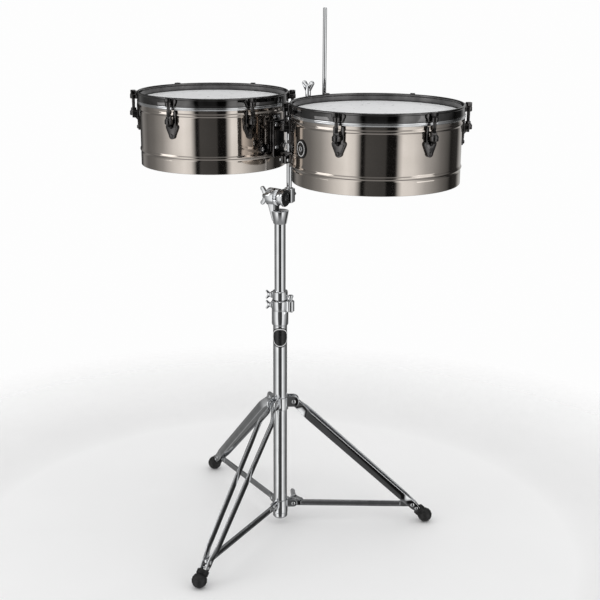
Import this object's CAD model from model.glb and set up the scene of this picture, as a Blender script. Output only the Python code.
import bpy, bmesh, math
from mathutils import Matrix, Vector


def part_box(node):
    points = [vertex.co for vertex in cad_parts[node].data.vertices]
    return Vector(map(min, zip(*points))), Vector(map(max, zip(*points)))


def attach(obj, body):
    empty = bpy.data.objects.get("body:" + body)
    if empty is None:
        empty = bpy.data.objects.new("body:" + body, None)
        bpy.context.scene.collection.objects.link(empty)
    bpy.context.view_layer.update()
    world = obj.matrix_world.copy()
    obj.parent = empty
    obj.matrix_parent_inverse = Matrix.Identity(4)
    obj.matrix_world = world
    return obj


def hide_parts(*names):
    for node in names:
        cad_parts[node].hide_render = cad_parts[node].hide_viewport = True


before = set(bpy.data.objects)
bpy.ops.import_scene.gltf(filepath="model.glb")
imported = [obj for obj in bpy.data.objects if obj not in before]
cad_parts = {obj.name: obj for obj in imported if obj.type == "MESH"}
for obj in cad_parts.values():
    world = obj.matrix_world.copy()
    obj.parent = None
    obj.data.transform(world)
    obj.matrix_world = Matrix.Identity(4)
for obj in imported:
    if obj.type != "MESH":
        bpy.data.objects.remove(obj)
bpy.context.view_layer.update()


def onFloor(node):
    # a node's centre dropped to the floor, in metres
    low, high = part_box(node)
    at = (low + high) / 2
    at.z = 0
    return at


poleAt, postAt = onFloor("base_tube"), onFloor("post")
smallAt, largeAt = onFloor("small_shell"), onFloor("large_shell")
smallR, largeR = 177.8, 190.5  # the shells' radii; sizes are in millimetres from here on
hoopTop = 1088  # the tuning hoops' top edge above the floor
mm = Matrix.Scale(0.001, 4)


def shift(x=0, y=0, z=0):
    return Matrix.Translation((x, y, z))


def place(at, turn=0.0):
    # millimetres about a vertical axis at a point, turned by so many degrees
    return Matrix.Translation(at) @ Matrix.Rotation(math.radians(turn), 4, "Z") @ mm


def alongX(x=0, y=0, z=0):
    # a local Z axis laid along +X
    return shift(x, y, z) @ Matrix.Rotation(math.radians(90), 4, "Y")


def alongY(x=0, y=0, z=0):
    return shift(x, y, z) @ Matrix.Rotation(math.radians(-90), 4, "X")


def upright(x=0, y=0, z=0):
    # an outline's second axis stood up along Z
    return shift(x, y, z) @ Matrix.Rotation(math.radians(90), 4, "X")


def turned(degrees):
    return Matrix.Rotation(math.radians(degrees), 4, "Z")


def dropped(degrees):
    # leant down from the horizontal
    return Matrix.Rotation(math.radians(degrees), 4, "Y")


# mesh makers: each adds one closed solid to a bmesh

def spin(bm, profile, matrix=None, segments=96, capped=False):
    # profile: (radius, height) points; a closed loop for a ring, or an open line from axis to axis
    matrix = matrix or Matrix.Identity(4)
    rings = []
    for r, z in profile:
        if capped and r < 1e-6:
            rings.append([bm.verts.new(matrix @ Vector((0, 0, z)))] * segments)
            continue
        turns = [2 * math.pi * i / segments for i in range(segments)]
        ring = [Vector((r * math.cos(turn), r * math.sin(turn), z)) for turn in turns]
        rings.append([bm.verts.new(matrix @ spot) for spot in ring])
    made = []
    for a, b in zip(rings, rings[1:] + ([] if capped else [rings[0]])):
        for i in range(segments):
            j = (i + 1) % segments
            loop = [a[i], a[j], b[j], b[i]]
            corners = [v for k, v in enumerate(loop) if v not in loop[:k]]
            if len(corners) > 2:
                made.append(bm.faces.new(corners))
    bmesh.ops.recalc_face_normals(bm, faces=made)
    return made


def rod(bm, r, z0, z1, matrix=None, edge=0.4, segments=32):
    inset = r - edge * 0.3
    low = [(0, z0), (r - edge, z0), (inset, z0 + edge * 0.3), (r, z0 + edge)]
    high = [(r, z1 - edge), (inset, z1 - edge * 0.3), (r - edge, z1), (0, z1)]
    return spin(bm, low + high, matrix, segments, capped=True)


def tube(bm, rOut, rIn, z0, z1, matrix=None, edge=0.4, segments=96):
    wall = [(rIn, z0), (rOut - edge, z0), (rOut, z0 + edge), (rOut, z1 - edge), (rOut - edge, z1),
        (rIn, z1)]
    return spin(bm, wall, matrix, segments)


def outlineSolid(outline, z0, z1, edge=0.8, steps=2):
    # an outline pushed up from z0 to z1, its rims rounded
    part = bmesh.new()
    low = [part.verts.new((x, y, z0)) for x, y in outline]
    high = [part.verts.new((x, y, z1)) for x, y in outline]
    part.faces.new(low[::-1])
    part.faces.new(high)
    count = len(outline)
    for i in range(count):
        part.faces.new((low[i], low[(i + 1) % count], high[(i + 1) % count], high[i]))
    bmesh.ops.recalc_face_normals(part, faces=part.faces)
    if edge:
        rims = [e for e in part.edges if e.calc_face_angle(0) > math.radians(40)]
        bmesh.ops.bevel(
            part, geom=rims, offset=edge, segments=steps, profile=0.5, affect="EDGES", clamp_overlap=True)
    return part


def cutAcross(part, places):
    for x in places:
        whole = part.verts[:] + part.edges[:] + part.faces[:]
        bmesh.ops.bisect_plane(part, geom=whole, plane_co=(x, 0, 0), plane_no=(1, 0, 0))


def bend(part, radius, cuts=24):
    # wraps a flat piece round an upright cylinder: x runs round it, y up, z outwards
    across = [v.co.x for v in part.verts]
    cutAcross(part, [min(across) + (max(across) - min(across)) * k / cuts for k in range(1, cuts)])
    for v in part.verts:
        a, r = v.co.x / radius, radius + v.co.z
        v.co = Vector((r * math.cos(a), r * math.sin(a), v.co.y))


def slab(bm, outline, z0, z1, matrix=None, edge=0.8, steps=2, wrap=None):
    part = outlineSolid(outline, z0, z1, edge, steps)
    if wrap:
        bend(part, wrap)
    merge(bm, part, matrix)


def block(bm, low, high, matrix=None, edge=0.8, steps=2):
    corners = [(low[0], low[1]), (high[0], low[1]), (high[0], high[1]), (low[0], high[1])]
    slab(bm, corners, low[2], high[2], matrix, edge, steps)


def merge(bm, part, matrix=None):
    mesh = bpy.data.meshes.new("part")
    part.to_mesh(mesh)
    part.free()
    if matrix:
        mesh.transform(matrix)
        if matrix.determinant() < 0:
            mesh.flip_normals()
    bm.from_mesh(mesh)
    bpy.data.meshes.remove(mesh)


def arcPoints(cx, cy, r, a0, a1, steps=10):
    turns = [math.radians(a0 + (a1 - a0) * i / steps) for i in range(steps + 1)]
    return [(cx + r * math.cos(turn), cy + r * math.sin(turn)) for turn in turns]


def finished(name, bm, material, matrix, sharp=38):
    mesh = bpy.data.meshes.new(name)
    bm.to_mesh(mesh)
    bm.free()
    mesh.transform(matrix)
    mesh.polygons.foreach_set("use_smooth", [True] * len(mesh.polygons))
    mesh.set_sharp_from_angle(angle=math.radians(sharp))
    mesh.materials.append(material)
    obj = bpy.data.objects.new(name, mesh)
    bpy.context.scene.collection.objects.link(obj)
    return obj


def hand(obj, body, slotName, *replaced):
    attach(obj, body)
    if replaced:
        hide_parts(*replaced)
    return obj


# finishes

def finish(name, base, metallic, rough, coat=0.0):
    mat = bpy.data.materials.new(name)
    mat.use_nodes = True
    tree = mat.node_tree
    shader = tree.nodes["Principled BSDF"]
    shader.inputs["Base Color"].default_value = (*base, 1)
    shader.inputs["Metallic"].default_value = metallic
    shader.inputs["Roughness"].default_value = rough
    shader.inputs["Coat Weight"].default_value = coat
    return mat, tree, shader


def add(tree, kind, **values):
    node = tree.nodes.new(kind)
    for key, value in values.items():
        setattr(node, key, value)
    return node


def noise(tree, scale, detail=3.0, stretch=(1, 1, 1), distortion=0.0):
    where = add(tree, "ShaderNodeTexCoord")
    mapping = add(tree, "ShaderNodeMapping")
    mapping.inputs["Scale"].default_value = stretch
    tex = add(tree, "ShaderNodeTexNoise")
    tex.inputs["Scale"].default_value = scale
    tex.inputs["Detail"].default_value = detail
    tex.inputs["Distortion"].default_value = distortion
    tree.links.new(where.outputs["Object"], mapping.inputs["Vector"])
    tree.links.new(mapping.outputs["Vector"], tex.inputs["Vector"])
    return tex.outputs["Fac"]


def spread(tree, value, low, high, fromLow=0.3, fromHigh=0.7):
    node = add(tree, "ShaderNodeMapRange")
    node.inputs["From Min"].default_value = fromLow
    node.inputs["From Max"].default_value = fromHigh
    node.inputs["To Min"].default_value = low
    node.inputs["To Max"].default_value = high
    tree.links.new(value, node.inputs["Value"])
    return node.outputs["Result"]


def tint(tree, value, first, second, low=0.35, high=0.65):
    ramp = add(tree, "ShaderNodeValToRGB")
    ramp.color_ramp.elements[0].position = low
    ramp.color_ramp.elements[1].position = high
    ramp.color_ramp.elements[0].color = (*first, 1)
    ramp.color_ramp.elements[1].color = (*second, 1)
    tree.links.new(value, ramp.inputs["Fac"])
    return ramp.outputs["Color"]


def clouded(tree, shader, value, first, second):
    tree.links.new(tint(tree, value, first, second), shader.inputs["Base Color"])


def handled(tree, shader, value, rough, rise, fromLow=0.3, fromHigh=0.7):
    # handled patches: gloss lost by up to rise
    patches = spread(tree, value, rough, rough + rise, fromLow, fromHigh)
    tree.links.new(patches, shader.inputs["Roughness"])


def bumps(tree, shader, value, strength, distance):
    node = add(tree, "ShaderNodeBump")
    node.inputs["Strength"].default_value = strength
    node.inputs["Distance"].default_value = distance
    tree.links.new(value, node.inputs["Height"])
    tree.links.new(node.outputs["Normal"], shader.inputs["Normal"])


def plated(name, deep, bright, rough, smudge, grain, grainDepth):
    # plating over a cast or drawn part: cloudy tint, handled patches, faint unevenness
    mat, tree, shader = finish(name, bright, 1.0, rough)
    clouded(tree, shader, noise(tree, 38, 4), deep, bright)
    handled(tree, shader, noise(tree, 85, 5, distortion=0.6), rough, smudge)
    bumps(tree, shader, noise(tree, grain, 2), grainDepth, 0.0002)
    return mat


def spunSteel():
    # polished sheet: hair lines run round the drum, soft smudges over them
    look = {
        "deep": (0.55, 0.50, 0.455), "bright": (0.63, 0.575, 0.53), "rough": 0.045, "smudge": 0.055,
        "lines": 950, "lineDepth": 0.035,
    }
    mat, tree, shader = finish("spunSteel", look["bright"], 1.0, look["rough"])
    clouded(tree, shader, noise(tree, 9, 4), look["deep"], look["bright"])
    hair = noise(tree, 1, 4, (4, 4, look["lines"]))
    smear = noise(tree, 26, 5, distortion=0.8)
    both = add(tree, "ShaderNodeMath", operation="MULTIPLY")
    tree.links.new(hair, both.inputs[0])
    tree.links.new(smear, both.inputs[1])
    handled(tree, shader, both.outputs[0], look["rough"], look["smudge"], 0.12, 0.42)
    bumps(tree, shader, hair, look["lineDepth"], 0.00004)
    return mat


def drumFilm():
    # white coated film: fine grit, slightly uneven coating
    look = {"thin": (0.905, 0.91, 0.92), "thick": (0.935, 0.94, 0.945), "rough": 0.26, "grit": 900}
    mat, tree, shader = finish("drumFilm", look["thick"], 0.0, look["rough"], coat=0.12)
    shader.inputs["Coat Roughness"].default_value = 0.18
    clouded(tree, shader, noise(tree, 14, 5), look["thin"], look["thick"])
    handled(tree, shader, noise(tree, 60, 4), look["rough"], 0.12)
    bumps(tree, shader, noise(tree, look["grit"], 2), 0.02, 0.00003)
    return mat


def footRubber():
    look = {"dark": (0.006, 0.006, 0.0065), "dusty": (0.016, 0.0155, 0.015), "rough": 0.42}
    mat, tree, shader = finish("footRubber", look["dark"], 0.0, look["rough"])
    clouded(tree, shader, noise(tree, 120, 6), look["dark"], look["dusty"])
    handled(tree, shader, noise(tree, 240, 5), look["rough"], 0.22)
    bumps(tree, shader, noise(tree, 1500, 4), 0.25, 0.0002)
    return mat


def printed(name, deep, bright, rough):
    mat, tree, shader = finish(name, bright, 0.0, rough, coat=0.1)
    clouded(tree, shader, noise(tree, 160, 4), deep, bright)
    handled(tree, shader, noise(tree, 300, 4), rough, 0.1)
    bumps(tree, shader, noise(tree, 900, 2), 0.05, 0.0001)
    return mat


steel = spunSteel()
chrome = plated("brightChrome", (0.68, 0.69, 0.705), (0.76, 0.77, 0.785), 0.03, 0.045, 420, 0.02)
darkNickel = plated("darkNickel", (0.06, 0.058, 0.058), (0.135, 0.13, 0.13), 0.08, 0.08, 700, 0.06)
darkHoop = plated("darkHoop", (0.10, 0.098, 0.098), (0.15, 0.147, 0.147), 0.05, 0.05, 260, 0.02)
film = drumFilm()
rubber = footRubber()
nylon = printed("bushNylon", (0.015, 0.015, 0.016), (0.03, 0.03, 0.03), 0.45)
inkBlack = printed("inkBlack", (0.004, 0.004, 0.0045), (0.008, 0.008, 0.0085), 0.30)
inkPale = printed("inkPale", (0.62, 0.62, 0.62), (0.74, 0.74, 0.74), 0.28)
print("finishes ready")


# Geometry Nodes: a ring from its section, hardware round a rim, fasteners on their spots

def newTree(name, inputs):
    tree = bpy.data.node_groups.new(name, "GeometryNodeTree")
    tree.interface.new_socket("Geometry", in_out="INPUT", socket_type="NodeSocketGeometry")
    for label, kind in inputs.items():
        tree.interface.new_socket(label, in_out="INPUT", socket_type="NodeSocket" + kind)
    tree.interface.new_socket("Geometry", in_out="OUTPUT", socket_type="NodeSocketGeometry")
    return tree, tree.nodes.new("NodeGroupInput"), tree.nodes.new("NodeGroupOutput")


def closeTree(tree, source, out, made):
    # every tree ends in real geometry with its finish set
    real = tree.nodes.new("GeometryNodeRealizeInstances")
    paint = tree.nodes.new("GeometryNodeSetMaterial")
    tree.links.new(made, real.inputs["Geometry"])
    tree.links.new(real.outputs["Geometry"], paint.inputs["Geometry"])
    tree.links.new(source.outputs["Finish"], paint.inputs["Material"])
    tree.links.new(paint.outputs["Geometry"], out.inputs["Geometry"])
    return tree


def ringTree():
    # section line (host mesh) carried round a circle
    inputs = {"Radius": "Float", "Steps round": "Int", "Finish": "Material"}
    tree, source, out = newTree("ringFromSection", inputs)
    line = tree.nodes.new("GeometryNodeMeshToCurve")
    circle = tree.nodes.new("GeometryNodeCurvePrimitiveCircle")
    sweep = tree.nodes.new("GeometryNodeCurveToMesh")
    link = tree.links.new
    link(source.outputs["Geometry"], line.inputs["Mesh"])
    link(source.outputs["Radius"], circle.inputs["Radius"])
    link(source.outputs["Steps round"], circle.inputs["Resolution"])
    link(circle.outputs["Curve"], sweep.inputs["Curve"])
    link(line.outputs["Curve"], sweep.inputs["Profile Curve"])
    return closeTree(tree, source, out, sweep.outputs["Mesh"])


def rimTree():
    # one piece (host mesh, standing at the drum's side on +X) repeated round the drum's axis
    inputs = {"Count": "Int", "First turn": "Float", "Finish": "Material"}
    tree, source, out = newTree("roundTheRim", inputs)
    line = tree.nodes.new("GeometryNodeMeshLine")
    line.inputs["Offset"].default_value = (0, 0, 0)
    spotCount = tree.nodes.new("GeometryNodeInputIndex")
    step = add(tree, "ShaderNodeMath", operation="DIVIDE")
    step.inputs[0].default_value = 2 * math.pi
    turn = add(tree, "ShaderNodeMath", operation="MULTIPLY_ADD")
    angles = tree.nodes.new("ShaderNodeCombineXYZ")
    copies = tree.nodes.new("GeometryNodeInstanceOnPoints")
    link = tree.links.new
    link(source.outputs["Count"], line.inputs["Count"])
    link(source.outputs["Count"], step.inputs[1])
    link(spotCount.outputs["Index"], turn.inputs[0])
    link(step.outputs[0], turn.inputs[1])
    link(source.outputs["First turn"], turn.inputs[2])
    link(turn.outputs[0], angles.inputs["Z"])
    link(line.outputs["Mesh"], copies.inputs["Points"])
    link(source.outputs["Geometry"], copies.inputs["Instance"])
    link(angles.outputs["Vector"], copies.inputs["Rotation"])
    return closeTree(tree, source, out, copies.outputs["Instances"])


def spotTree():
    # a fastener stood on every point of the host, turned by the point's own "turn"
    tree, source, out = newTree("fastenersOnSpots", {"Fastener": "Object", "Finish": "Material"})
    info = tree.nodes.new("GeometryNodeObjectInfo")
    turn = add(tree, "GeometryNodeInputNamedAttribute", data_type="FLOAT_VECTOR")
    turn.inputs["Name"].default_value = "turn"
    copies = tree.nodes.new("GeometryNodeInstanceOnPoints")
    link = tree.links.new
    link(source.outputs["Geometry"], copies.inputs["Points"])
    link(source.outputs["Fastener"], info.inputs["Object"])
    link(info.outputs["Geometry"], copies.inputs["Instance"])
    link(turn.outputs["Attribute"], copies.inputs["Rotation"])
    return closeTree(tree, source, out, copies.outputs["Instances"])


ringFromSection, roundTheRim, fastenersOnSpots = ringTree(), rimTree(), spotTree()


def grow(name, host, tree, values, matrix, sharp=38, outward=False):
    # runs the tree on the host mesh and keeps the result as a plain mesh
    carrier = bpy.data.objects.new(name + "Host", host)
    bpy.context.scene.collection.objects.link(carrier)
    modifier = carrier.modifiers.new("grow", "NODES")
    modifier.node_group = tree
    sockets = {s.name: s.identifier for s in tree.interface.items_tree if s.in_out == "INPUT"}
    for label, value in values.items():
        modifier[sockets[label]] = value
    carrier.update_tag()
    bpy.context.view_layer.update()
    ready = carrier.evaluated_get(bpy.context.evaluated_depsgraph_get())
    mesh = bpy.data.meshes.new_from_object(ready)
    carrier.modifiers.remove(modifier)
    bpy.data.objects.remove(carrier)
    mesh.name = name
    if outward:
        bm = bmesh.new()
        bm.from_mesh(mesh)
        bmesh.ops.remove_doubles(bm, verts=bm.verts, dist=1e-4)
        bmesh.ops.recalc_face_normals(bm, faces=bm.faces)
        bm.to_mesh(mesh)
        bm.free()
    mesh.transform(matrix)
    mesh.polygons.foreach_set("use_smooth", [True] * len(mesh.polygons))
    mesh.set_sharp_from_angle(angle=math.radians(sharp))
    obj = bpy.data.objects.new(name, mesh)
    bpy.context.scene.collection.objects.link(obj)
    return obj


def asHost(bm):
    mesh = bpy.data.meshes.new("host")
    bm.to_mesh(mesh)
    bm.free()
    return mesh


def fasten(name, bm, spots, paint, matrix):
    # spots: x, y, z in millimetres and the turn about Z in degrees
    fastener = bpy.data.objects.new("fastener", asHost(bm))
    bpy.context.scene.collection.objects.link(fastener)
    host = bpy.data.meshes.new("spots")
    host.from_pydata([spot[:3] for spot in spots], [], [])
    turns = host.attributes.new("turn", "FLOAT_VECTOR", "POINT")
    for entry, spot in zip(turns.data, spots):
        entry.vector = (0, 0, math.radians(spot[3]))
    made = grow(name, host, fastenersOnSpots, {"Fastener": fastener, "Finish": paint}, matrix)
    bpy.data.objects.remove(fastener)
    return made


def sectionMesh(points):
    # a closed section; x is the distance out from the circle, y the height, which the sweep takes downwards
    mesh = bpy.data.meshes.new("section")
    count = len(points)
    mesh.from_pydata([(x, -y, 0) for x, y in points], [(i, (i + 1) % count) for i in range(count)], [])
    return mesh


# the two drums: shell, hoops, head, and what stands at each tension station
drumLook = {
    "steps": 288, "wall": 1.5, "low": 912.2, "edge": 1069.2,
    "beads": (1048, 950), "beadProud": 1.95, "beadHalf": 5.2, "groove": 942, "grooveHalf": 1.6,
    "stations": 6, "firstTurn": 33.7, "screwZ": 1000, "boltOut": 15.5, "shelfTop": 1039,
    "boltLow": 1022.2, "threadPitch": 1.1,
}


def shellSection():
    look = drumLook
    low, top = look["low"], look["edge"]
    outer, inner = [], []
    z = low
    while z < top + 0.01:
        swell = 0
        for bead in look["beads"]:
            away = abs(z - bead) / look["beadHalf"]
            if away < 1:
                swell = max(swell, look["beadProud"] * (0.5 + 0.5 * math.cos(math.pi * away)) ** 0.75)
        away = abs(z - look["groove"]) / look["grooveHalf"]
        if away < 1:
            swell -= 0.5 * (1 - away * away)
        outer.append((swell, z))
        inner.append((swell - look["wall"], z))
        z += 1.0
    outer[0] = (-0.5, low)
    outer.insert(1, (0, low + 0.5))
    outer[-1] = (-0.8, top - 0.1)
    lip = [(-4.5, top - 1.0), (-6.0, top - 1.6), (-5.8, top - 2.2)]
    inner = [spot for spot in inner if low + 1.6 < spot[1] < top - 2.0]
    foot = [(-9.0, low + 1.5), (-9.0, low)]
    return outer + lip + inner[::-1] + foot


def hoopSection():
    low, top = hoopTop - 21, hoopTop
    band = [(1.85, low + 0.3), (2.2, low), (5.2, low), (5.5, low + 0.4), (5.5, low + 2.2),
        (4.95, low + 3.0)]
    bead = arcPoints(3.4, top - 3.0, 2.95, -60, 240, 15)
    return band + [(4.9, top - 6.6)] + bead + [(1.85, top - 6.6)]


def fleshSection():
    low, top = hoopTop - 28.5, hoopTop - 21.2
    outside = [(5.6, low), (6.3, low + 0.7), (6.45, low + 2.0), (5.5, low + 2.8), (5.4, low + 4.2)]
    outside += [(6.4, low + 5.0), (6.45, low + 6.2), (5.8, top)]
    return [(2.1, low + 0.1)] + outside + [(2.15, top)]


def headProfile(r):
    # playing surface, its shallow collar, the skirt over the bearing edge, and back underneath
    top = hoopTop - 18.0
    rise = [(0, top - 0.15), (r * 0.3, top - 0.15), (r * 0.6, top - 0.14), (r * 0.8, top - 0.12)]
    rise += [(r - 14, top - 0.10), (r - 11.6, top - 0.35), (r - 10.6, top - 0.42), (r - 9.6, top - 0.32)]
    rise += [(r - 7.5, top - 0.08), (r - 3, top - 0.02), (r - 0.6, top - 0.04), (r + 0.4, top - 0.3)]
    skirt = [(r + 0.9, top - 0.9), (r + 0.9, top - 6.0), (r + 1.9, top - 7.0), (r + 1.0, top - 7.4)]
    skirt += [(r + 0.2, top - 6.6), (r + 0.2, top - 1.0)]
    under = [(r - 0.4, top - 0.7), (r - 7, top - 0.75), (r * 0.5, top - 0.78), (0, top - 0.78)]
    return rise + skirt + under


def lugPiece(r):
    # shield with a raised field, two prongs up past the hoop's edge, a shelf and its gusset
    bm = bmesh.new()
    half = [(8.0, 1000), (15.6, 1017), (16.3, 1021), (15.2, 1024.6), (12, 1026)]
    shield = [(-x, y) for x, y in half] + half[::-1] + arcPoints(0, drumLook["screwZ"], 8, -10, -170, 12)
    slab(bm, shield, 0.12, 5.8, None, 1.6, 3, wrap=r)
    slab(bm, [(x * 0.8, 1013 + (y - 1013) * 0.8) for x, y in shield], 4.5, 6.5, None, 0.9, 2, wrap=r)
    for x in (-9, 9):
        prong = [(x - 3.2, 1021), (x + 3.2, 1021)] + arcPoints(x, 1055, 3.2, 0, 180, 8)
        slab(bm, prong, 2.5, 7.0, None, 1.2, 3, wrap=r)
    shelf = arcPoints(drumLook["boltOut"], 0, 9.5, -90, 90, 14) + [(3.2, 9.3), (3.2, -9.3)]
    slab(bm, shelf, 1028.2, drumLook["shelfTop"], shift(r), 1.5, 3)
    gusset = [(3.5, 1038), (21, 1029.5), (17.5, 1027), (9.5, 1019.5), (3.5, 1013.5)]
    slab(bm, gusset, -3.4, 3.4, upright(r), 1.2, 2)
    return bm


def clawPiece(r):
    # two-lobed plate against the hoop and the nose that the bolt pulls down
    bm = bmesh.new()
    low, top, out = hoopTop - 20, hoopTop - 8, drumLook["boltOut"]
    plate = [(-10.5, low), (10.5, low), (12.5, low + 6)]
    plate += arcPoints(9, top, 6.4, -20, 90, 8) + [(3, top + 3.6), (-3, top + 3.6)]
    plate += arcPoints(-9, top, 6.4, 90, 200, 8) + [(-12.5, low + 6)]
    slab(bm, plate, 5.15, 9.3, None, 1.3, 3, wrap=r)
    nose = [(6.0, -6.8), (out, -7.8)] + arcPoints(out, 0, 7.9, -84, 84, 14) + [(out, 7.8), (6.0, 6.8)]
    slab(bm, nose, low + 0.2, hoopTop - 9.05, shift(r), 1.8, 3)
    return bm


def boltPiece(r):
    # threaded shank, flange and square head
    bm = bmesh.new()
    out = shift(r + drumLook["boltOut"])
    low, seat, pitch = drumLook["boltLow"], hoopTop - 9, drumLook["threadPitch"]
    thread = []
    z = low
    while z < seat - 22:
        thread += [(3.55, z), (3.9, z + pitch / 2)]
        z += pitch
    shank = [(0, low - 0.1), (2.6, low - 0.1)] + thread + [(3.9, z + 0.6), (3.9, seat + 1), (0, seat + 1)]
    spin(bm, shank, out, 24, capped=True)
    flange = [(0, seat), (7.0, seat), (7.45, seat + 0.5), (7.4, seat + 1.2), (6.2, seat + 1.9),
        (0, seat + 2.0)]
    spin(bm, flange, out, 48, capped=True)
    half = 5.7
    block(bm, (-half, -half, seat + 1.5), (half, half, seat + 9.7), out @ turned(18), 0.9, 3)
    return bm


def nutPiece(r):
    bm = bmesh.new()
    out = shift(r + drumLook["boltOut"])
    spin(bm, [(4.0, 1039.05), (7.9, 1039.05), (7.95, 1040.2), (7.2, 1041.3), (4.0, 1041.3)], out, 40)
    slab(bm, arcPoints(0, 0, 6.9, 0, 300, 5), 1041, 1046.4, out @ Matrix.Rotation(0.3, 4, "Z"), 0.7, 2)
    return bm


def lugScrewPiece(r):
    # domed head on the lug, and the head inside the shell
    bm = bmesh.new()
    lie = alongX(r, 0, drumLook["screwZ"])
    dome = [(0, 6.1), (4.5, 6.1), (4.7, 6.7), (4.2, 8.2), (3.3, 8.9), (2.3, 9.1), (1.9, 8.2), (0, 8.0)]
    spin(bm, dome, lie, 32, capped=True)
    spin(bm, [(0, -4.8), (5.4, -4.8), (5.4, -2.0), (5.0, -1.6), (0, -1.6)], lie, 24, capped=True)
    return bm


ringPieces = (
    ("Shell", shellSection(), steel, "shell_steel", "_shell"),
    ("Hoop", hoopSection(), darkHoop, "black_nickel", "_hoop"),
    ("FleshHoop", fleshSection(), chrome, "stand_chrome", "_flesh_hoop"),
)
stationPieces = (
    ("Lugs", lugPiece, "black_nickel", "_lugs"),
    ("Claws", clawPiece, "black_nickel", "_claws"),
    ("TensionBolts", boltPiece, "black_nickel", "_tension_bolts"),
    ("LugNuts", nutPiece, "black_nickel", "_lug_nuts"),
    ("LugScrews", lugScrewPiece, "stand_chrome", "_lug_screws"),
)
for side, at, r in (("small", smallAt, smallR), ("large", largeAt, largeR)):
    home = place(at)
    for part, section, paint, slotName, node in ringPieces:
        values = {"Radius": r, "Steps round": drumLook["steps"], "Finish": paint}
        piece = grow(side + part, sectionMesh(section), ringFromSection, values, home, 50, outward=True)
        hand(piece, "drums", slotName, side + node)
    bm = bmesh.new()
    spin(bm, headProfile(r), None, 240, capped=True)
    hand(finished(side + "Head", bm, film, home, 60), "drums", "head_film", side + "_head")
    values = {"Count": drumLook["stations"], "First turn": math.radians(drumLook["firstTurn"])}
    for part, maker, slotName, node in stationPieces:
        piece = grow(side + part, asHost(maker(r)), roundTheRim, {**values, "Finish": darkNickel}, home)
        hand(piece, "drums", slotName, side + node)
    print(side, "drum made")


def fitPiece(name, bm, paint, body, slotName, *replaced, matrix, sharp=38):
    return hand(finished(name, bm, paint, matrix, sharp), body, slotName, *replaced)


def inChrome(name, bm, body, node, matrix):
    return fitPiece(name, bm, chrome, body, "stand_chrome", node, matrix=matrix)


def inNickel(name, bm, node, matrix):
    return fitPiece(name, bm, darkNickel, "drums", "black_nickel", node, matrix=matrix)


def screwHead(bm, r, z0, z1, matrix):
    # a domed head with a shallow socket
    rise = z1 - z0
    dome = [(0, z0), (r - 0.3, z0), (r, z0 + 0.3), (r, z0 + rise * 0.45), (r * 0.82, z0 + rise * 0.82)]
    socket = [(r * 0.5, z1), (r * 0.42, z1), (r * 0.36, z1 - rise * 0.4), (0, z1 - rise * 0.4)]
    spin(bm, dome + socket, matrix, 32, capped=True)


def hexNut(bm, r, z0, z1, matrix):
    slab(bm, arcPoints(0, 0, r, 0, 300, 5), z0, z1, matrix, 0.5, 2)


def wingHead(bm, matrix, span, wingH, hubR, hubH, thick, roll=0):
    # two lobes over a turned hub, the screw's axis on Z
    root, r = max(hubH * 0.3, hubH - wingH * 0.35), wingH * 0.3
    matrix = matrix @ turned(roll)
    side = [(hubR * 0.9, root)] + arcPoints(span / 2 - r, hubH + wingH * 0.62, r, -38, 158, 12)
    wings = side + [(0, hubH + wingH * 0.42)] + [(-x, y) for x, y in reversed(side)]
    slab(bm, wings, -thick / 2, thick / 2, matrix @ upright(), thick * 0.3, 3)
    neck, crown = hubH - 1 + wingH * 0.42, hubH - 1 + wingH * 0.45
    hub = [(0, 0), (hubR - 0.6, 0), (hubR, 0.6), (hubR, hubH - 0.8), (hubR * 0.94, hubH)]
    hub += [(hubR * 0.7, neck), (hubR * 0.55, crown), (0, crown)]
    spin(bm, hub, matrix, 48, capped=True)


# mounting plates, bracket and bell rod between the drums
mount = {
    "strapZ": 966, "strapHalf": 56, "strapH": 20, "plateHalf": 24, "low": 956, "high": 1030,
    "proud": 5,
}
bracket = {
    "reach": 36, "low": 944, "hubLow": 932, "hubHigh": 1034, "hubR": 16, "rodZ": 1046,
    "clampBack": 85,
}
postHome = place(postAt)
postEnd = 1039

screwSpots = []
for side, at, r, way in (("small", smallAt, smallR, 0), ("large", largeAt, largeR, 180)):
    bm = bmesh.new()
    h = mount["strapH"] / 2
    strap = arcPoints(mount["strapHalf"] - h, mount["strapZ"], h, -90, 90, 12)
    strap += arcPoints(h - mount["strapHalf"], mount["strapZ"], h, 90, 270, 12)
    slab(bm, strap, 0.08, mount["proud"], None, 1.2, 3, wrap=r)
    high = mount["high"]
    tab = [(-15, high - 6), (15, high - 6)] + arcPoints(10, high + 8, 5, 0, 90, 6)
    tab += arcPoints(-10, high + 8, 5, 90, 180, 6)
    slab(bm, tab, 0.08, mount["proud"], None, 1.2, 3, wrap=r)
    corner, flat = 5, []
    centre, reach = (high + mount["low"]) / 2, (high - mount["low"]) / 2 - corner
    for right, up, turn in ((1, -1, -90), (1, 1, 0), (-1, 1, 90), (-1, -1, 180)):
        x = right * (mount["plateHalf"] - corner)
        flat += arcPoints(x, centre + up * reach, corner, turn, turn + 90, 6)
    slab(bm, flat, 0.08, mount["proud"] - 1.6, None, 0, 0, wrap=r)
    slab(bm, flat, 1.5, mount["proud"], shift(r, 0, 0) @ turned(90) @ upright(), 1.2, 3)
    inNickel(side + "MountPlate", bm, side + "_mount_plate", place(at, way))
    reachOut = math.degrees(math.asin((mount["strapHalf"] - 8) / r))
    fromPost = (at - postAt) * 1000
    pairs = ((reachOut, mount["strapZ"]), (2.6, high + 6))
    for aside, z in [(sign * aside, z) for aside, z in pairs for sign in (1, -1)]:
        turn = math.radians(aside + way)
        screwSpots.append((fromPost.x + r * math.cos(turn), fromPost.y + r * math.sin(turn), z,
            aside + way))
bm = bmesh.new()
rod(bm, 2.5, -5, 6, alongX())
screwHead(bm, 4.8, 5.1, 7.6, alongX())
rod(bm, 5.5, -5.2, -1.65, alongX())
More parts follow.
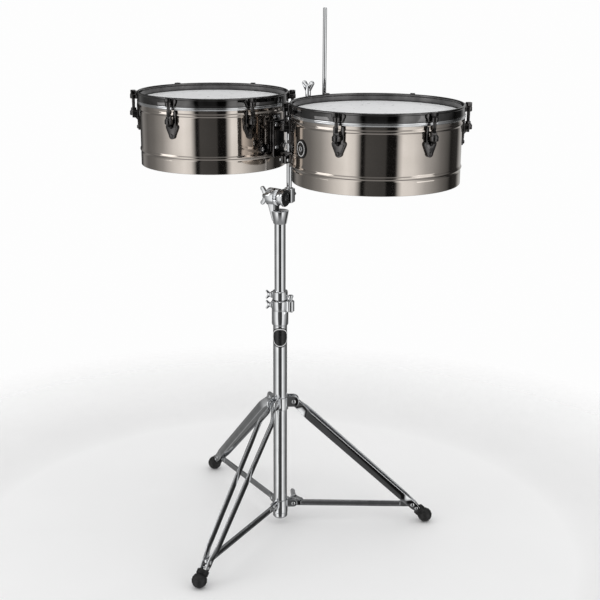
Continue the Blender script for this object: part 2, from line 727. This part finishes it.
hand(fasten("mountScrews", bm, screwSpots, chrome, postHome), "drums", "stand_chrome", "mount_screws")

bm = bmesh.new()
rod(bm, 3, bracket["reach"] - 9, bracket["reach"] + 3.3, alongX())
hexNut(bm, 5.5, bracket["reach"] - 12.1, bracket["reach"] - 8.1, alongX())
spots = [(0, y, z, turn) for turn in (0, 180) for y in (-16, 16)
    for z in (mount["low"] + 12, mount["high"] - 9)]
hand(fasten("bracketBolts", bm, spots, chrome, postHome), "drums", "stand_chrome", "bracket_bolts")

bm = bmesh.new()
for s in (-1, 1):
    x = s * (bracket["reach"] - 4)
    block(bm, (x - 4, -23, bracket["low"]), (x + 4, 23, mount["high"]), None, 1.6, 3)
tube(bm, bracket["hubR"], 6.4, bracket["hubLow"], bracket["hubLow"] + 22, None, 1.6, 64)
tube(bm, bracket["hubR"], 6.4, bracket["hubHigh"] - 26, bracket["hubHigh"], None, 1.6, 64)
wide, top = bracket["reach"] - 2, mount["high"]
block(bm, (-wide, -10, bracket["low"] + 0.1), (wide, 10, bracket["low"] + 14), None, 2.2, 3)
block(bm, (-wide, -8, bracket["low"] + 2), (wide, 20, bracket["low"] + 7), None, 1.4, 2)
block(bm, (-wide, -10, top - 22), (wide, 10, top - 8), None, 2.2, 3)
block(bm, (-wide, -20, top - 22), (wide, 20, top - 17), None, 1.4, 2)
block(bm, (-8, 8, bracket["hubHigh"] - 16), (8, bracket["clampBack"] - 13, bracket["hubHigh"] - 0.2),
    None, 2.0, 3)
for s in (-1, 1):
    block(bm, (min(s, s * 8), -27, bracket["hubLow"] + 0.1),
        (max(s, s * 8), -13, bracket["hubLow"] + 18), None, 1.2, 2)
inNickel("centreBracket", bm, "centre_bracket", postHome)

bm = bmesh.new()
clampBolt = alongX(0, -20, bracket["hubLow"] + 9)
rod(bm, 3, -13, 10, clampBolt)
hexNut(bm, 5.5, 8.1, 12.1, clampBolt)
hexNut(bm, 5.5, -12.1, -8.1, clampBolt)
inChrome("bracketClampBolt", bm, "drums", "bracket_clamp_bolt", postHome)

bm = bmesh.new()
rod(bm, 6.35, 840, postEnd, None, 1.0, 64)
inChrome("post", bm, "drums", "post", postHome)

bm = bmesh.new()
back = bracket["clampBack"]
block(bm, (-13, back - 14, bracket["hubHigh"] - 16), (13, back + 14, bracket["rodZ"] + 10), None, 3.2, 4)
z = bracket["rodZ"]
spin(bm, [(0, z + 8), (9, z + 8), (9, z + 14), (8, z + 15), (0, z + 15)], shift(0, back, 0), 48,
    capped=True)
inNickel("rodClamp", bm, "rod_clamp", postHome)

rodWing = {"span": 32, "wingH": 20, "hubR": 6.5, "hubH": 36, "thick": 7.5}
bm = bmesh.new()
over = shift(0, back, bracket["rodZ"])
rod(bm, 4, 5.1, 17, over)
wingHead(bm, over @ shift(0, 0, 15.3), **rodWing)
inChrome("rodWingBolt", bm, "rod_screw", "rod_wing_bolt", postHome)

# the bell rod: out of its block, round one bend, and up
bellRod = {"r": 4.75, "start": 61, "back": 161, "bend": 20, "top": 1283, "mark": 24}


def bellRodPiece():
    # path: y, z and the rod's radius there; a fine groove runs round it below the tip
    start, back, full = bellRod["start"], bellRod["back"], bellRod["r"]
    corner, level = bellRod["bend"], bracket["rodZ"]
    path = [(start, level, full - 0.8), (start + 0.8, level, full), (back - corner, level, full)]
    path += [(y, z, full) for y, z in arcPoints(back - corner, level + corner, corner, -80, -10, 9)]
    mark, top = bellRod["top"] - bellRod["mark"], bellRod["top"]
    path += [(back, level + corner, full), (back, mark - 0.3, full), (back, mark, full - 0.5)]
    path += [(back, mark + 2, full - 0.5), (back, mark + 2.3, full), (back, top - 2, full),
        (back, top, full - 1.5)]
    bm = bmesh.new()
    count, rings = 48, []
    across = Vector((1, 0, 0))
    for i, (y, z, r) in enumerate(path):
        before, after = path[max(i - 1, 0)], path[min(i + 1, len(path) - 1)]
        lift = across.cross(Vector((0, after[0] - before[0], after[1] - before[1])).normalized())
        ring = []
        for k in range(count):
            turn = 2 * math.pi * k / count
            ring.append(bm.verts.new(Vector((0, y, z))
                + r * (math.cos(turn) * across + math.sin(turn) * lift)))
        rings.append(ring)
    for one, two in zip(rings, rings[1:]):
        for k in range(count):
            bm.faces.new((one[k], one[(k + 1) % count], two[(k + 1) % count], two[k]))
    bm.faces.new(rings[0])
    bm.faces.new(rings[-1])
    bmesh.ops.recalc_face_normals(bm, faces=bm.faces)
    return bm


fitPiece("cowbellRod", bellRodPiece(), chrome, "rod", "stand_chrome", "cowbell_rod", matrix=postHome,
    sharp=30)
print("bracket and bell rod made")

# the badge: a plain dark disc with a raised rim and a pale ring, and its grommet
badge = {"turn": -121, "z": 997, "r": 21, "ring": (14.6, 16.4)}


def annulus(bm, rIn, rOut, z0, z1, wrap, y=0, edge=0.3, segments=72):
    part = bmesh.new()
    tube(part, rOut, rIn, z0, z1, shift(0, y, 0), edge, segments)
    bend(part, wrap)
    merge(bm, part)


badgeHome = place(largeAt, badge["turn"])
bm = bmesh.new()
slab(bm, arcPoints(0, badge["z"], badge["r"] - 0.4, 0, 355, 71), 0.08, 1.8, None, 0, 0, wrap=largeR)
annulus(bm, badge["r"] - 2.2, badge["r"], 0.08, 2.8, largeR, badge["z"], 0.6)
annulus(bm, 7.2, 9.4, 1.6, 2.4, largeR, badge["z"], 0.3)
fitPiece("ventBadge", bm, inkBlack, "drums", "black_nickel", "vent_badge", matrix=badgeHome)
bm = bmesh.new()
annulus(bm, badge["ring"][0], badge["ring"][1], 1.75, 2.05, largeR, badge["z"], 0.1)
fitPiece("badgeRing", bm, inkPale, "drums", "black_nickel", matrix=badgeHome)
bm = bmesh.new()
eyelet = alongX(largeR, 0, badge["z"])
rolled = [(3.2, -4), (3.2, 3.0), (3.7, 3.4), (5.4, 3.35), (6.8, 2.7), (7, 1.9), (4.5, 1.8)]
spin(bm, rolled + [(4.5, -1.7), (7, -1.8), (7, -4)], eyelet, 48)
inChrome("ventGrommet", bm, "drums", "vent_grommet", badgeHome)

# the tilter: its axis lies along X
tilter = {"z": 851, "r": 21, "teeth": 30, "depth": 2.2, "neckLow": 788, "neckTop": 820, "out": -31}
poleHome = place(poleAt)
tiltAxis = alongX(0, 0, tilter["z"])


def disc(bm, r, x0, x1, edge=1.2, hole=0):
    if hole:
        tube(bm, r, hole, x0, x1, tiltAxis, edge, 96)
    else:
        rod(bm, r, x0, x1, tiltAxis, edge, 96)


def toothPiece(x0, x1):
    bm = bmesh.new()
    root, tip = tilter["r"] - 0.6 - tilter["depth"], tilter["r"] - 0.7
    half = math.pi / tilter["teeth"] * (tilter["r"] - 0.6)
    flank = [(tilter["r"] - 4.5, half * 0.8), (root, half), (tip, 0.25)]
    slab(bm, [(x, -y) for x, y in flank] + flank[::-1], x0, x1, None, 0, 0)
    return bm


for side, x0, x1, body in (("lower", -9, -5.25, "column"), ("upper", -5.05, -1.3, "drums")):
    values = {"Count": tilter["teeth"], "First turn": 0.0, "Finish": chrome}
    teeth = grow(side + "Teeth", asHost(toothPiece(x0, x1)), roundTheRim, values, poleHome @ tiltAxis)
    hand(teeth, body, "stand_chrome")

bm = bmesh.new()
disc(bm, tilter["r"], tilter["out"], -8.2, 1.5)
disc(bm, tilter["r"] - 4, -9, -5.25, 0.2)
low, top, socket = tilter["neckLow"], tilter["neckTop"], tilter["neckLow"] + 26
cone = [(13.7, low), (15.4, low), (16.0, low + 0.6), (21.0, top - 2.4), (21.4, top - 0.9), (20.2, top),
    (0, top)]
spin(bm, cone + [(0, socket), (13.7, socket)], None, 96, capped=True)
arm = [(tilter["out"] + 0.6, tilter["z"] - 3), (tilter["out"] + 0.6, tilter["z"] - 8), (-15, low + 6),
    (-9, low + 6), (-9, tilter["z"] - 3)]
slab(bm, arm, -13.4, 13.4, upright(), 3.0, 4)
inChrome("tilterYoke", bm, "column", "tilter_yoke", poleHome)

bm = bmesh.new()
disc(bm, tilter["r"] - 4, -5.05, -1.3, 0.2)
disc(bm, tilter["r"] - 3.4, -3, 12, 0.6)
disc(bm, tilter["r"], 11, 17, 1.2, hole=12.5)
block(bm, (-3, 8, tilter["z"] - 16), (17, 42, tilter["z"] + 18), None, 2.6, 4)
tube(bm, 11, 6.4, tilter["z"] - 15.9, tilter["z"] + 20, shift(8, 28, 0), 1.2, 64)
inChrome("tilterHead", bm, "drums", "tilter_head", poleHome)

bm = bmesh.new()
disc(bm, 5, tilter["out"] - 17, 13, 0.8)
disc(bm, 11.4, 12.1, 14.3, 0.3)
corners = arcPoints(0, 0, 5.6, 0, 360, 6)
for k in range(6):
    rim = arcPoints(0, 0, 11.5, 60 * k, 60 * k + 60, 8)
    slab(bm, [corners[k]] + rim + [corners[k + 1]], 14, 17.4, tiltAxis, 0, 0)
inChrome("tilterBolt", bm, "column", "tilter_bolt", poleHome)

bm = bmesh.new()
disc(bm, 13, tilter["out"] - 2.6, tilter["out"] - 0.1, 0.6, hole=5.1)
inChrome("tilterWasher", bm, "column", "tilter_washer", poleHome)

tiltWing = {"span": 45, "wingH": 18, "hubR": 9, "hubH": 4, "thick": 8}
bm = bmesh.new()
wingHead(bm, shift(tilter["out"] - 2.9, 0, tilter["z"]) @ Matrix.Rotation(math.radians(-90), 4, "Y"),
    **tiltWing)
inChrome("tilterWingNut", bm, "tilter_nut", "tilter_wing_nut", poleHome)

bm = bmesh.new()
setScrew = alongY(8, 0, tilter["z"] + 2)
rod(bm, 3, 35, 48, setScrew)
hexNut(bm, 5.5, 47, 52, setScrew)
inChrome("postSetScrew", bm, "drums", "post_set_screw", poleHome)
print("tilter made")

# column: two tubes, the memory ring, the height clamp and its bush
column = {
    "midR": 13.6, "baseR": 17.25, "wall": 1.5, "midTop": 812.5, "baseTop": 545, "lockZ": 599,
    "lockH": 22, "lockR": 19, "gripZ": 571, "gripH": 26.5, "gripR": 20.5, "leverTurn": 203,
    "blockTurn": 15, "blockOut": 27,
}
bm = bmesh.new()
tube(bm, column["midR"], column["midR"] - column["wall"], 300, column["midTop"])
inChrome("middleTube", bm, "column", "middle_tube", poleHome)
bm = bmesh.new()
tube(bm, column["baseR"], column["baseR"] - column["wall"], 22, column["baseTop"])
inChrome("baseTube", bm, "stand", "base_tube", poleHome)

lever = turned(column["leverTurn"])
bm = bmesh.new()
tube(bm, column["lockR"], column["midR"] + 0.06, column["lockZ"], column["lockZ"] + column["lockH"],
    None, 1.6)
rod(bm, 8, 16, 23, lever @ alongX(0, 0, column["lockZ"] + column["lockH"] / 2), 0.9, 48)
inChrome("memoryLock", bm, "memory_ring", "memory_lock", poleHome)

ringWing = {"span": 22, "wingH": 9, "hubR": 5.5, "hubH": 4, "thick": 4.5}
lockMid, gripMid = column["lockZ"] + column["lockH"] / 2, column["gripZ"] + column["gripH"] / 2
for name, z, start in (("memory", lockMid, 13.9), ("clamp", gripMid, 16.8)):
    bm = bmesh.new()
    lie = lever @ alongX(0, 0, z)
    rod(bm, 3, start, 24.3, lie)
    wingHead(bm, lie @ shift(0, 0, 23.3), **ringWing)
    inChrome(name + "WingScrew", bm, name + "_screw", name + "_wing_screw", poleHome)

bm = bmesh.new()
top = column["gripZ"] + column["gripH"]
r = column["gripR"]
sleeve = [(16.55, column["gripZ"]), (16.55, top), (r - 1.5, top), (r, top - 1.5), (r, 573),
    (r - 0.5, 572.2)]
sleeve += [(r - 0.5, 570.8), (r, 570), (r, 537.5), (r - 1.3, 535), (17.3, 535), (17.3, 546)]
spin(bm, sleeve, None, 96)
rod(bm, 8, 18, 23, lever @ alongX(0, 0, column["gripZ"] + column["gripH"] / 2), 0.9, 48)
side = turned(column["blockTurn"])
block(bm, (18.5, -9, column["gripZ"] + 0.1), (column["blockOut"], 9, top - 0.1), side, 1.0, 2)
tube(bm, 9, 3.05, column["gripZ"], top, side @ shift(column["blockOut"], 0, 0), 1.2, 64)
inChrome("heightClamp", bm, "stand", "height_clamp", poleHome)

bm = bmesh.new()
hinge = side @ shift(column["blockOut"], 0, column["gripZ"])
rod(bm, 3, -3, column["gripH"] + 12, hinge)
hexNut(bm, 5, -3, -0.1, hinge)
rod(bm, 4.5, column["gripH"] + 0.1, column["gripH"] + 8.5, hinge, 0.6)
rod(bm, 6.5, column["gripH"] + 8, column["gripH"] + 14, hinge, 1.4)
inChrome("clampPin", bm, "stand", "clamp_pin", poleHome)

bm = bmesh.new()
spin(bm, [(13.66, 520), (15.7, 520), (15.7, 545.2), (16.5, 545.3), (16.5, top - 0.6), (15.9, top),
    (13.66, top)], None, 96)
fitPiece("clampBush", bm, nylon, "bush", "bush_nylon", "clamp_bush", matrix=poleHome)

bm = bmesh.new()
cup = [(0, 15), (14.2, 15), (15.2, 15.5), (18.2, 18.6), (18.6, 19.6), (18.6, 29.2), (18.1, 29.7),
    (17.35, 29.7)]
spin(bm, cup + [(17.35, 22), (0, 22)], None, 96, capped=True)
inChrome("endCap", bm, "stand", "end_cap", poleHome)

# the plain dark disc stuck round the lower tube, with a pale line inside its rim
sticker = {"turn": -57.5, "z": 505, "r": 25.5, "line": (20.8, 23.0)}
bm = bmesh.new()
slab(bm, arcPoints(0, sticker["z"], sticker["r"], 0, 355, 71), 0.03, 0.25, None, 0, 0,
    wrap=column["baseR"])
fitPiece("tubeSticker", bm, inkBlack, "stand", "stand_chrome", matrix=place(poleAt, sticker["turn"]))
bm = bmesh.new()
annulus(bm, sticker["line"][0], sticker["line"][1], 0.2, 0.4, column["baseR"], sticker["z"], 0.02)
fitPiece("stickerLine", bm, inkPale, "stand", "stand_chrome", matrix=place(poleAt, sticker["turn"]))
print("column made")

# tripod: three legs of two bowed straps, three braces, two collars
tripod = {
    "turn": 32.5, "footR": 373.5, "pivotR": 33.5, "legZ": 335, "braceZ": 54, "braceAt": 419,
    "ballR": 18.3, "flat": 0.6, "strapT": 3.5, "strapH": 20, "braceT": 6, "braceH": 15,
    "screwTurn": 82,
}
footZ = tripod["ballR"] - tripod["flat"]
legDrop = math.degrees(math.atan2(tripod["legZ"] - footZ, tripod["footR"] - tripod["pivotR"]))
legLen = math.hypot(tripod["footR"] - tripod["pivotR"], tripod["legZ"] - footZ)
braceOut = tripod["pivotR"] + tripod["braceAt"] * math.cos(math.radians(legDrop))
braceUp = tripod["legZ"] - tripod["braceAt"] * math.sin(math.radians(legDrop))
braceDrop = math.degrees(math.atan2(tripod["braceZ"] - braceUp, braceOut - tripod["pivotR"]))
braceLen = math.hypot(braceOut - tripod["pivotR"], tripod["braceZ"] - braceUp)


def softLine(points, reach=9, steps=5):
    # a bent line with its corners rounded
    line = [Vector(points[0])]
    for before, corner, after in zip(points, points[1:], points[2:]):
        before, corner, after = Vector(before), Vector(corner), Vector(after)
        first = corner + (before - corner).normalized() * reach
        last = corner + (after - corner).normalized() * reach
        for k in range(steps + 1):
            s = k / steps
            line.append(first * (1 - s) ** 2 + corner * 2 * s * (1 - s) + last * s * s)
    return line + [Vector(points[-1])]


def strapInto(bm, side):
    # close at the pivot, bowed out along its length, close again in the foot
    bow = ((-10, 6), (18, 6), (46, 17.5), (384, 12.5), (406, 8), (legLen - 3, 8))
    line = softLine([(x, side * y) for x, y in bow])
    half, sides = tripod["strapT"] / 2, ([], [])
    for i, at in enumerate(line):
        ahead = (line[min(i + 1, len(line) - 1)] - line[max(i - 1, 0)]).normalized()
        out = Vector((-ahead.y, ahead.x)) * half
        sides[0].append(tuple(at + out))
        sides[1].append(tuple(at - out))
    h = tripod["strapH"] / 2
    part = outlineSolid(sides[0] + sides[1][::-1], -h, h, 1.0, 3)
    taper, narrow = 424, 438  # the strap's end is rounded at the pivot and narrows into the foot
    cutAcross(part, (-9.5, -8.5, -6.5, -3.5, 0, taper, narrow))
    for v in part.verts:
        if v.co.x < 0:
            v.co.z *= math.sqrt(max(2.0, h * h - v.co.x ** 2)) / h
        if v.co.x > taper:
            v.co.z *= 1 - 0.3 * min(1, (v.co.x - taper) / (narrow - taper))
    merge(bm, part)


def legInto(bm):
    for side in (-1, 1):
        strapInto(bm, side)
    tipPin = 433
    rod(bm, 3, -11, 11, alongY(tripod["braceAt"]))
    rod(bm, 2.5, -11, 11, alongY(tipPin))
    for side in (-1, 1):
        flip = Matrix.Rotation(math.radians(90 - 90 * side), 4, "X")
        screwHead(bm, 4.8, 9.8, 11.8, shift(tripod["braceAt"]) @ flip @ alongY())
        rod(bm, 5, 3.3, 6.2, shift(tripod["braceAt"]) @ flip @ alongY(), 0.3)
        screwHead(bm, 4, 9.8, 11.4, shift(tipPin) @ flip @ alongY())


def footInto(bm):
    # ribbed sleeve running into a ball
    length, ball = legLen, tripod["ballR"]
    profile = [(0, 440), (13.2, 440), (14.2, 440.6)]
    x = 442.2
    while x < 452:
        profile += [(14.5, x), (14.5, x + 1.5), (13.5, x + 1.9), (13.5, x + 3.0)]
        x += 3.4
    for k in range(30):
        turn = math.radians(-52 + 140 * k / 29)
        ridge = 0.35 * math.cos(k * 1.35) if k < 25 else 0
        profile.append(((ball - 0.35 + ridge) * math.cos(turn),
            length + (ball - 0.35 + ridge) * math.sin(turn)))
    profile.append((0, length + ball))
    spin(bm, profile, alongX(), 96, capped=True)


def braceInto(bm):
    # a flat bar pressed with a rim along each edge, full thickness at its eyes
    h, half, length = tripod["braceH"] / 2, tripod["braceT"] / 2, braceLen
    web = arcPoints(0, 0, h - 0.2, 90, 270, 14) + arcPoints(length, 0, h - 0.2, -90, 90, 14)
    slab(bm, web, -2.2, 2.2, upright(), 0, 0)
    for z0, z1 in ((4, h), (-h, -4)):
        rim = [(-1, z0), (length + 1, z0), (length + 1, z1), (-1, z1)]
        slab(bm, rim, -half, half, upright(), 1.0, 3)
    for x0, x1, turn in ((0, 20, 90), (length - 32, length, -90)):
        cap = arcPoints(length if turn < 0 else 0, 0, h, turn, turn + 180, 16)
        cap += [(x1, -h), (x1, h)] if turn > 0 else [(x0, h), (x0, -h)]
        slab(bm, cap, -half, half, upright(), 1.0, 3)


def earsInto(bm, gap, thick, r, z, matrix):
    outline = [(10, -r)] + arcPoints(tripod["pivotR"], 0, r, -90, 90, 16) + [(10, r)]
    for y in (gap / 2, -gap / 2 - thick):
        slab(bm, outline, y, y + thick, matrix @ upright(0, 0, z), 0.7, 2)


legWays = [(name, tripod["turn"] + 120 * i) for i, name in enumerate(("right", "back", "front"))]
for name, way in legWays:
    ending = name.capitalize()
    onLeg = poleHome @ turned(way) @ shift(tripod["pivotR"], 0, tripod["legZ"]) @ dropped(legDrop)
    bm = bmesh.new()
    legInto(bm)
    inChrome("leg" + ending, bm, "leg_" + name, "leg_" + name, onLeg)
    bm = bmesh.new()
    footInto(bm)
    shoe = finished("foot" + ending, bm, rubber, onLeg, 50)
    for v in shoe.data.vertices:
        v.co.z = max(v.co.z, 0)  # pressed flat on the floor
    hand(shoe, "leg_" + name, "foot_rubber", "foot_" + name)
    onBrace = poleHome @ turned(way) @ shift(tripod["pivotR"], 0, tripod["braceZ"]) @ dropped(braceDrop)
    bm = bmesh.new()
    braceInto(bm)
    inChrome("brace" + ending, bm, "brace_" + name, "brace_" + name, onBrace)

legGap, braceGap = 2 * (6 + tripod["strapT"] / 2 + 0.35), tripod["braceT"] + 0.7
bm = bmesh.new()
tube(bm, 20.5, 17.3, 313, 346.5, None, 1.4)
for name, way in legWays:
    earsInto(bm, legGap, 3.5, 13.5, tripod["legZ"], turned(way))
inChrome("legCollar", bm, "stand", "leg_collar", poleHome)

bm = bmesh.new()
rod(bm, 3, legGap / 2 + 0.1, legGap / 2 + 4.5, alongY(), 0.3)
screwHead(bm, 5.2, legGap / 2 + 3.52, legGap / 2 + 5.7, alongY())


def pivotSpots(z, flips):
    # one spot at each leg's pivot for every turn in flips
    spots = []
    for name, way in legWays:
        x, y = tripod["pivotR"] * math.cos(math.radians(way)), tripod["pivotR"] * math.sin(math.radians(way))
        spots += [(x, y, z, way + flip) for flip in flips]
    return spots


spots = pivotSpots(tripod["legZ"], (0, 180))
hand(fasten("legCollarRivets", bm, spots, chrome, poleHome), "stand", "stand_chrome", "leg_collar_rivets")

bm = bmesh.new()
tube(bm, 19.5, 17.32, 30, 66, None, 1.4)
for name, way in legWays:
    earsInto(bm, braceGap, 4, 9.5, tripod["braceZ"], turned(way))
tube(bm, 8, 3.05, 19, 34, turned(tripod["screwTurn"]) @ alongX(0, 0, 50), 1.2, 48)
inChrome("braceCollar", bm, "sliding_collar", "brace_collar", poleHome)

bm = bmesh.new()
rod(bm, 3, -9, 9, alongY(), 0.3)
for flip in (0, 180):
    lie = Matrix.Rotation(math.radians(flip), 4, "X") @ alongY()
    screwHead(bm, 4.8, braceGap / 2 + 4.05, braceGap / 2 + 6.05, lie)
spots = pivotSpots(tripod["braceZ"], (0,))
hand(fasten("bracePins", bm, spots, chrome, poleHome), "sliding_collar", "stand_chrome", "brace_pins")

collarWing = {"span": 44, "wingH": 20, "hubR": 5.5, "hubH": 8, "thick": 4.5, "roll": -60}
bm = bmesh.new()
lie = turned(tripod["screwTurn"]) @ alongX(0, 0, 50)
rod(bm, 3, 17.6, 47, lie)
wingHead(bm, lie @ shift(0, 0, 46), **collarWing)
inChrome("collarWingScrew", bm, "collar_screw", "collar_wing_screw", poleHome)
print("tripod made")


# studio
def studio():
    look = {"floor": (0.92, 0.92, 0.92), "key": 16, "fill": 7, "top": 17, "fadeFrom": 0.75, "fadeTo": 1.5}
    mat, tree, shader = finish("paleFloor", look["floor"], 0.0, 0.9)
    clouded(tree, shader, noise(tree, 3, 2), (0.915, 0.915, 0.915), (0.93, 0.93, 0.93))
    # the floor thins out to nothing a little beyond the feet
    where = tree.nodes.new("ShaderNodeTexCoord")
    away = add(tree, "ShaderNodeVectorMath", operation="LENGTH")
    tree.links.new(where.outputs["Object"], away.inputs[0])
    fade = spread(tree, away.outputs["Value"], 0, 1, look["fadeFrom"], look["fadeTo"])
    clear, blend = tree.nodes.new("ShaderNodeBsdfTransparent"), tree.nodes.new("ShaderNodeMixShader")
    out = tree.nodes["Material Output"]
    tree.links.new(fade, blend.inputs[0])
    tree.links.new(shader.outputs[0], blend.inputs[1])
    tree.links.new(clear.outputs[0], blend.inputs[2])
    tree.links.new(blend.outputs[0], out.inputs["Surface"])
    bm = bmesh.new()
    spin(bm, [(0, 0), (1.6, 0), (1.6, -0.01), (0, -0.01)], None, 96, capped=True)
    floor = finished("floor", bm, mat, shift(0, 0, -0.0005))
    floor.visible_glossy = False

    def panel(name, at, aim, width, height, power):
        data = bpy.data.lights.new(name, "AREA")
        data.shape, data.size, data.size_y, data.energy = "RECTANGLE", width, height, power
        obj = bpy.data.objects.new(name, data)
        obj.location = at
        obj.rotation_euler = (Vector(aim) - Vector(at)).to_track_quat("-Z", "Y").to_euler()
        bpy.context.scene.collection.objects.link(obj)

    panel("keyPanel", (-2.6, -2.4, 2.6), (0, 0, 0.7), 1.6, 2.2, look["key"])
    panel("fillPanel", (2.9, 0.4, 1.8), (0, 0, 0.7), 1.4, 2.2, look["fill"])
    panel("topPanel", (0.2, 0.3, 3.6), (0, 0, 0.6), 2.6, 2.6, look["top"])


# the room by compass, in degrees: pale screens and the dark gaps between them, seen only in the metal
room = {
    "turn": -57.5, "air": 0.80, "seen": 0.985, "overhead": 0.22, "below": 0.30,
    "stops": [
        (-122.5, 0.16), (-104, 0.22), (-84, 0.42), (-62, 0.95), (-44, 1.2), (-33, 1.0), (-27, 0.35),
        (-24.5, 0.012), (-20.5, 0.012), (-18, 0.085), (8, 0.065), (10, 0.008), (22, 0.008),
        (25, 0.5), (31, 1.15), (46, 1.05), (66, 0.55), (92, 0.22), (108, 0.1), (114, 0.02),
        (134, 0.04), (148, 0.5), (168, 0.55), (180, 0.08), (205, 0.04), (220, 0.3), (237.4, 0.16),
    ],
}


def roomAir():
    world = bpy.data.worlds.new("studioAir")
    bpy.context.scene.world = world
    world.use_nodes = True
    tree = world.node_tree
    tree.nodes.clear()
    link = tree.links.new
    where = tree.nodes.new("ShaderNodeTexCoord")
    split = tree.nodes.new("ShaderNodeSeparateXYZ")
    around = add(tree, "ShaderNodeMath", operation="ARCTAN2")
    share = tree.nodes.new("ShaderNodeMapRange")
    share.inputs["From Min"].default_value = -math.pi
    share.inputs["From Max"].default_value = math.pi
    bands = tree.nodes.new("ShaderNodeValToRGB")
    ramp = bands.color_ramp
    while len(ramp.elements) < len(room["stops"]):
        ramp.elements.new(0.5)
    for element, (turn, level) in zip(ramp.elements, room["stops"]):
        element.position = (turn + room["turn"] + 180) / 360
        element.color = (level, level, level * 0.99, 1)
    up = tree.nodes.new("ShaderNodeMapRange")
    up.inputs["From Min"].default_value = 0.35
    up.inputs["From Max"].default_value = 0.75
    blendUp = add(tree, "ShaderNodeMix", data_type="RGBA")
    ray = tree.nodes.new("ShaderNodeLightPath")
    choose = add(tree, "ShaderNodeMix", data_type="RGBA")
    seen = add(tree, "ShaderNodeMix", data_type="RGBA")
    background = tree.nodes.new("ShaderNodeBackground")
    out = tree.nodes.new("ShaderNodeOutputWorld")
    link(where.outputs["Generated"], split.inputs[0])
    link(split.outputs["Y"], around.inputs[0])
    link(split.outputs["X"], around.inputs[1])
    link(around.outputs[0], share.inputs["Value"])
    link(share.outputs["Result"], bands.inputs["Fac"])
    link(split.outputs["Z"], up.inputs["Value"])
    link(up.outputs["Result"], blendUp.inputs["Factor"])
    link(bands.outputs["Color"], blendUp.inputs[6])
    blendUp.inputs[7].default_value = (room["overhead"], room["overhead"], room["overhead"], 1)
    link(ray.outputs["Is Glossy Ray"], choose.inputs["Factor"])
    choose.inputs[6].default_value = (room["air"], room["air"], room["air"], 1)
    down = tree.nodes.new("ShaderNodeMapRange")
    down.inputs["From Min"].default_value = -0.64
    down.inputs["From Max"].default_value = -0.84
    blendDown = add(tree, "ShaderNodeMix", data_type="RGBA")
    blendDown.inputs[7].default_value = (room["below"], room["below"], room["below"], 1)
    link(split.outputs["Z"], down.inputs["Value"])
    link(down.outputs["Result"], blendDown.inputs["Factor"])
    link(blendUp.outputs[2], blendDown.inputs[6])
    link(blendDown.outputs[2], choose.inputs[7])
    link(ray.outputs["Is Camera Ray"], seen.inputs["Factor"])
    link(choose.outputs[2], seen.inputs[6])
    seen.inputs[7].default_value = (room["seen"], room["seen"], room["seen"], 1)
    link(seen.outputs[2], background.inputs["Color"])
    background.inputs["Strength"].default_value = 1.0
    link(background.outputs[0], out.inputs["Surface"])
    bpy.context.scene.view_settings.view_transform = "Standard"


def shoot():
    look = {"lens": 68.7, "offset": (1.440, -2.257, 1.393), "heading": (-0.5225, 0.8526),
        "pitch": 16.56, "roll": 0.25}
    data = bpy.data.cameras.new("camera")
    data.lens, data.sensor_width = look["lens"], 36
    camera = bpy.data.objects.new("camera", data)
    pitch = math.radians(look["pitch"])
    east, north = look["heading"]
    ahead = Vector((east * math.cos(pitch), north * math.cos(pitch), -math.sin(pitch))).normalized()
    right = ahead.cross(Vector((0, 0, 1))).normalized()
    up = right.cross(ahead)
    turn = Matrix((right, up, -ahead)).transposed() @ Matrix.Rotation(math.radians(look["roll"]), 3, "Z")
    camera.matrix_world = Matrix.Translation(poleAt + Vector(look["offset"])) @ turn.to_4x4()
    bpy.context.scene.collection.objects.link(camera)
    bpy.context.scene.camera = camera


studio()
roomAir()
shoot()
print("studio ready")
